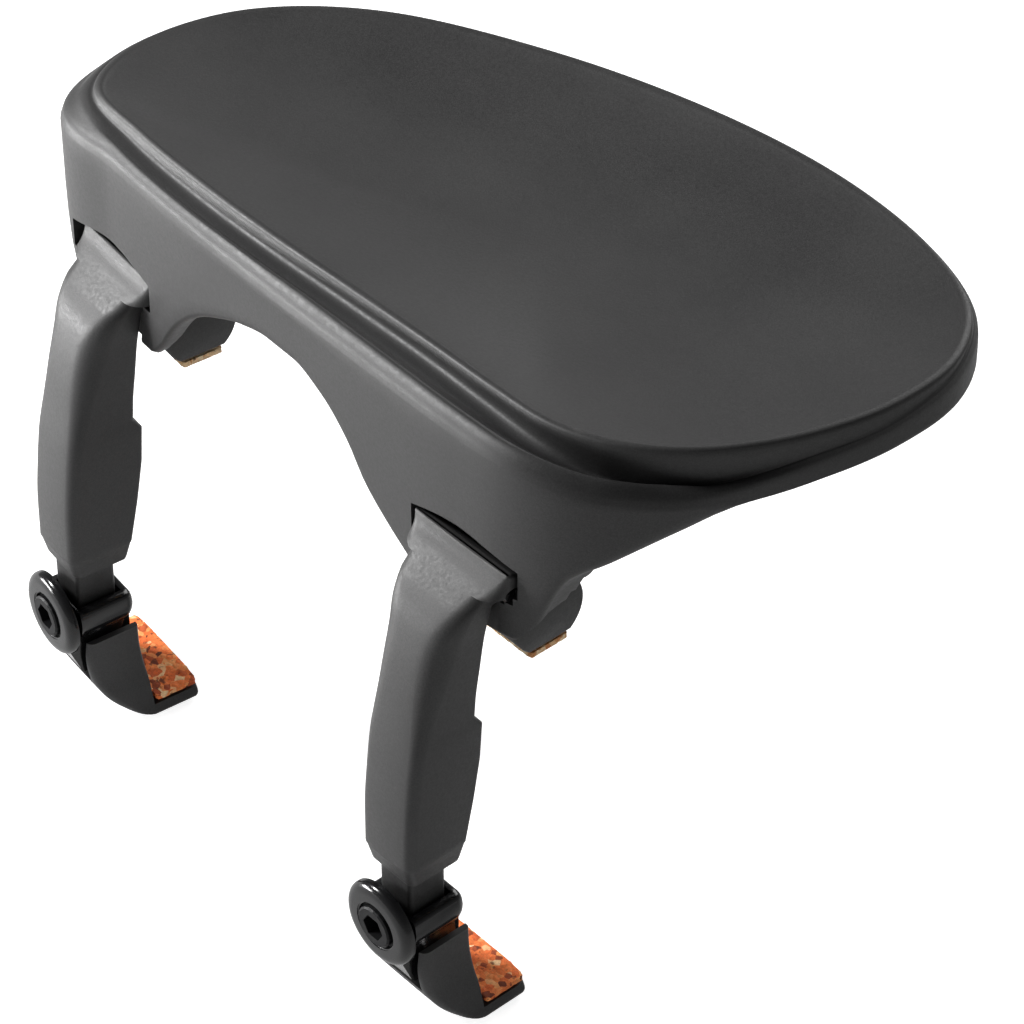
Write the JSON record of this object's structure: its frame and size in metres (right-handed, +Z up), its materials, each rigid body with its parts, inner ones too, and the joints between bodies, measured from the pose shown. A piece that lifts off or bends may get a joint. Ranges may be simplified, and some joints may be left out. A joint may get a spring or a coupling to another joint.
{
  "type": "violin chin rest",
  "caption": "Centre-mounted violin chin rest: a cupped plate bridging the tailpiece, clamped by geared legs with corked claws and standing on corked rocking feet.",
  "frame": {"origin": "on the violin's top, midway between the two clamp legs, at the plate's front face", "axes": "+X along the violin's tail edge, to the player's right seen from behind the tail end; +Y from the tail end towards the scroll; +Z up off the violin's top"},
  "size_m": [0.0924, 0.064, 0.0721],
  "materials": {
    "matte_composite": "fine matt moulded grain",
    "gloss_acetal": "polished black",
    "cork": "pressed cork sheet, orange brown with dark specks",
    "steel": "turned, bright"
  },
  "bodies": {
    "root": {"chin_plate": "matte_composite", "left_leg_pin": "gloss_acetal", "left_foot_stud": "steel", "right_leg_pin": "gloss_acetal", "right_foot_stud": "steel"},
    "left_leg": {"left_leg_shell": "matte_composite", "left_leg_inner_cover": "matte_composite", "left_spindle_nut": "steel"},
    "left_carriage": {"left_gear_housing": "gloss_acetal", "left_claw_pin": "steel"},
    "left_spindle": {"left_tension_spindle": "steel", "left_spindle_gear": "steel"},
    "left_drive": {"left_drive_gear": "gloss_acetal"},
    "left_clamp_claw": {"left_claw": "matte_composite", "left_claw_cork": "cork"},
    "left_foot": {"left_rocker_foot": "matte_composite", "left_foot_cork": "cork"},
    "right_leg": {"right_leg_shell": "matte_composite", "right_leg_inner_cover": "matte_composite", "right_spindle_nut": "steel"},
    "right_carriage": {"right_gear_housing": "gloss_acetal", "right_claw_pin": "steel"},
    "right_spindle": {"right_tension_spindle": "steel", "right_spindle_gear": "steel"},
    "right_drive": {"right_drive_gear": "gloss_acetal"},
    "right_clamp_claw": {"right_claw": "matte_composite", "right_claw_cork": "cork"},
    "right_foot": {"right_rocker_foot": "matte_composite", "right_foot_cork": "cork"}
  },
  "joints": [
    {"name": "left_leg_rock", "type": "hinge", "parent": "root", "child": "left_leg", "pos_m": [-0.0279, 0.0016, 0.0096], "axis": [0.9982, -0.0593, 0], "range_deg": [-3, 3]},
    {"name": "left_clamp_slide", "type": "slide", "parent": "left_leg", "child": "left_carriage", "axis": [0, 0, 1], "range_m": [0, 0.0034]},
    {"name": "left_spindle_spin", "type": "hinge", "parent": "left_carriage", "child": "left_spindle", "pos_m": [-0.02833, -0.00559, -0.0376], "axis": [0, 0, 1], "range_deg": [0, 613]},
    {"name": "left_drive_spin", "type": "hinge", "parent": "left_carriage", "child": "left_drive", "pos_m": [-0.02862, -0.01048, -0.0306], "axis": [0.0593, 0.9982, 0], "range_deg": [0, 341]},
    {"name": "left_claw_tip", "type": "hinge", "parent": "left_carriage", "child": "left_clamp_claw", "pos_m": [-0.02825, -0.00429, -0.0396], "axis": [0.9982, -0.0593, 0], "range_deg": [-4, 4]},
    {"name": "left_foot_rock", "type": "hinge", "parent": "root", "child": "left_foot", "pos_m": [-0.02762, 0.00639, 0.0045], "axis": [0.9982, -0.0593, 0], "range_deg": [-8, 8]},
    {"name": "right_leg_rock", "type": "hinge", "parent": "root", "child": "right_leg", "pos_m": [0.0279, 0.0016, 0.0096], "axis": [0.9982, 0.0593, 0], "range_deg": [-3, 3]},
    {"name": "right_clamp_slide", "type": "slide", "parent": "right_leg", "child": "right_carriage", "axis": [0, 0, 1], "range_m": [0, 0.0034]},
    {"name": "right_spindle_spin", "type": "hinge", "parent": "right_carriage", "child": "right_spindle", "pos_m": [0.02833, -0.00559, -0.0376], "axis": [0, 0, 1], "range_deg": [0, 613]},
    {"name": "right_drive_spin", "type": "hinge", "parent": "right_carriage", "child": "right_drive", "pos_m": [0.02862, -0.01048, -0.0306], "axis": [-0.0593, 0.9982, 0], "range_deg": [0, 341]},
    {"name": "right_claw_tip", "type": "hinge", "parent": "right_carriage", "child": "right_clamp_claw", "pos_m": [0.02825, -0.00429, -0.0396], "axis": [0.9982, 0.0593, 0], "range_deg": [-4, 4]},
    {"name": "right_foot_rock", "type": "hinge", "parent": "root", "child": "right_foot", "pos_m": [0.02762, 0.00639, 0.0045], "axis": [0.9982, 0.0593, 0], "range_deg": [-8, 8]}
  ],
  "couplings": [
    {"joint": "left_spindle_spin", "follows": "left_clamp_slide", "rad_per_m": 3141.6},
    {"joint": "left_drive_spin", "follows": "left_clamp_slide", "rad_per_m": 1745.3},
    {"joint": "right_spindle_spin", "follows": "right_clamp_slide", "rad_per_m": 3141.6},
    {"joint": "right_drive_spin", "follows": "right_clamp_slide", "rad_per_m": 1745.3}
  ]
}
